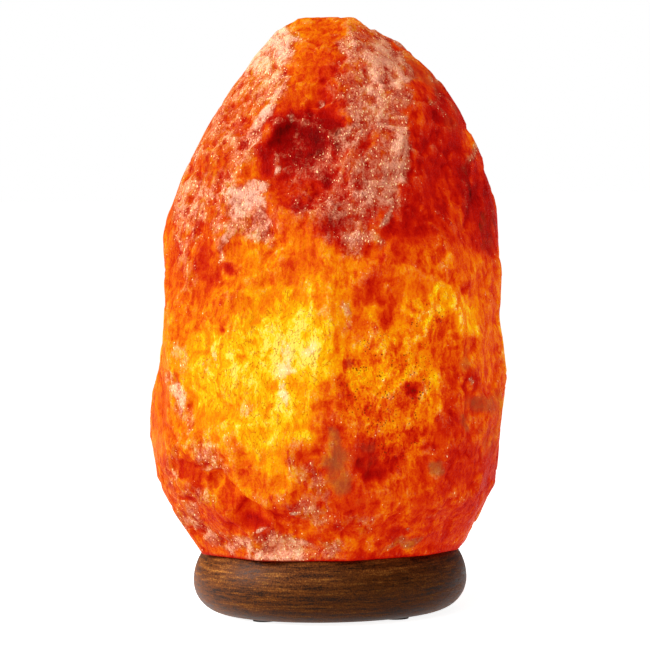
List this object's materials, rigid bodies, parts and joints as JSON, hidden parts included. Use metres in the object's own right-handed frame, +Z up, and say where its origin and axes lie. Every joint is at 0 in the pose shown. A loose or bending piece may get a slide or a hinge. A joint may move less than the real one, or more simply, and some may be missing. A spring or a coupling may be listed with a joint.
{
  "type": "salt crystal lamp",
  "caption": "Tall rough rock-salt lamp on a low round turned wooden foot, lit from inside by a small screw-in bulb on a pull-out sprung lampholder.",
  "frame": {"origin": "middle of the lamp's footprint, on the surface it stands on, under the bulb's axis", "axes": "+Z up along the bulb's axis, -Y towards the viewer of the picture, cord channel at +Y"},
  "size_m": [0.1443, 0.1338, 0.2385],
  "materials": {
    "walnut": "satin lacquered walnut-brown turned wood",
    "rock_salt": "rough pink and orange rock salt, lit from inside",
    "felt": "dark felt",
    "zinc_steel": "zinc-plated steel",
    "spring_steel": "bright spring steel",
    "nylon": "grey nylon",
    "bush_rubber": "black rubber",
    "holder_plastic": "black moulded thermoset",
    "ceramic": "unglazed white ceramic",
    "brass": "bright brass",
    "nickel": "nickel-plated",
    "solder": "dull tin solder",
    "black_glass": "black glass insulator",
    "clear_glass": "clear blown glass",
    "wire": "nickel wire",
    "tungsten": "glowing tungsten wire"
  },
  "bodies": {
    "base": {"wood_base": "walnut", "salt_crystal": "rock_salt", "base_screws": "zinc_steel", "screw_plugs": "nylon", "felt_pads": "felt"},
    "holder": {"holder_plate": "zinc_steel", "screwed_tube": "brass", "lock_washer": "zinc_steel", "tube_nut": "brass", "cord_bush": "bush_rubber", "clip_feet": "spring_steel", "clip_rivets": "zinc_steel", "lampholder_cap": "holder_plastic", "lampholder_sleeve": "holder_plastic", "contact_block": "ceramic", "shell_contact": "brass", "centre_contact": "brass", "terminal_screws": "brass", "screw_shell": "brass"},
    "clip_1": {"clip_leaf_1": "spring_steel"},
    "clip_2": {"clip_leaf_2": "spring_steel"},
    "clip_3": {"clip_leaf_3": "spring_steel"},
    "bulb_tip": {"bulb_contact": "solder"},
    "bulb": {"bulb_insulator": "black_glass", "bulb_cap": "nickel", "bulb_glass": "clear_glass", "bulb_stem": "clear_glass", "bulb_leads": "wire", "bulb_filament": "tungsten", "filament_supports": "wire"}
  },
  "joints": [
    {"name": "holder_slide", "type": "slide", "parent": "base", "child": "holder", "axis": [0, 0, -1], "range_m": [0, 0.11]},
    {"name": "clip_1_flex", "type": "hinge", "parent": "holder", "child": "clip_1", "pos_m": [0.0181, 0.01045, 0.01495], "axis": [0.5, -0.866, 0], "range_deg": [0, 6], "stiffness_Nm_per_rad": 0.5, "springref_deg": -5.73},
    {"name": "clip_2_flex", "type": "hinge", "parent": "holder", "child": "clip_2", "pos_m": [-0.0181, 0.01045, 0.01495], "axis": [0.5, 0.866, 0], "range_deg": [0, 6], "stiffness_Nm_per_rad": 0.5, "springref_deg": -5.73},
    {"name": "clip_3_flex", "type": "hinge", "parent": "holder", "child": "clip_3", "pos_m": [0, -0.0209, 0.01495], "axis": [-1, 0, 0], "range_deg": [0, 6], "stiffness_Nm_per_rad": 0.5, "springref_deg": -5.73},
    {"name": "bulb_travel", "type": "slide", "parent": "holder", "child": "bulb_tip", "axis": [0, 0, 1], "range_m": [0, 0.01128]},
    {"name": "bulb_turn", "type": "hinge", "parent": "bulb_tip", "child": "bulb", "pos_m": [0, 0, 0.05], "axis": [0, 0, 1], "range_deg": [0, 1439]}
  ],
  "couplings": [
    {"joint": "bulb_travel", "follows": "bulb_turn", "m_per_rad": 0.00044882}
  ]
}
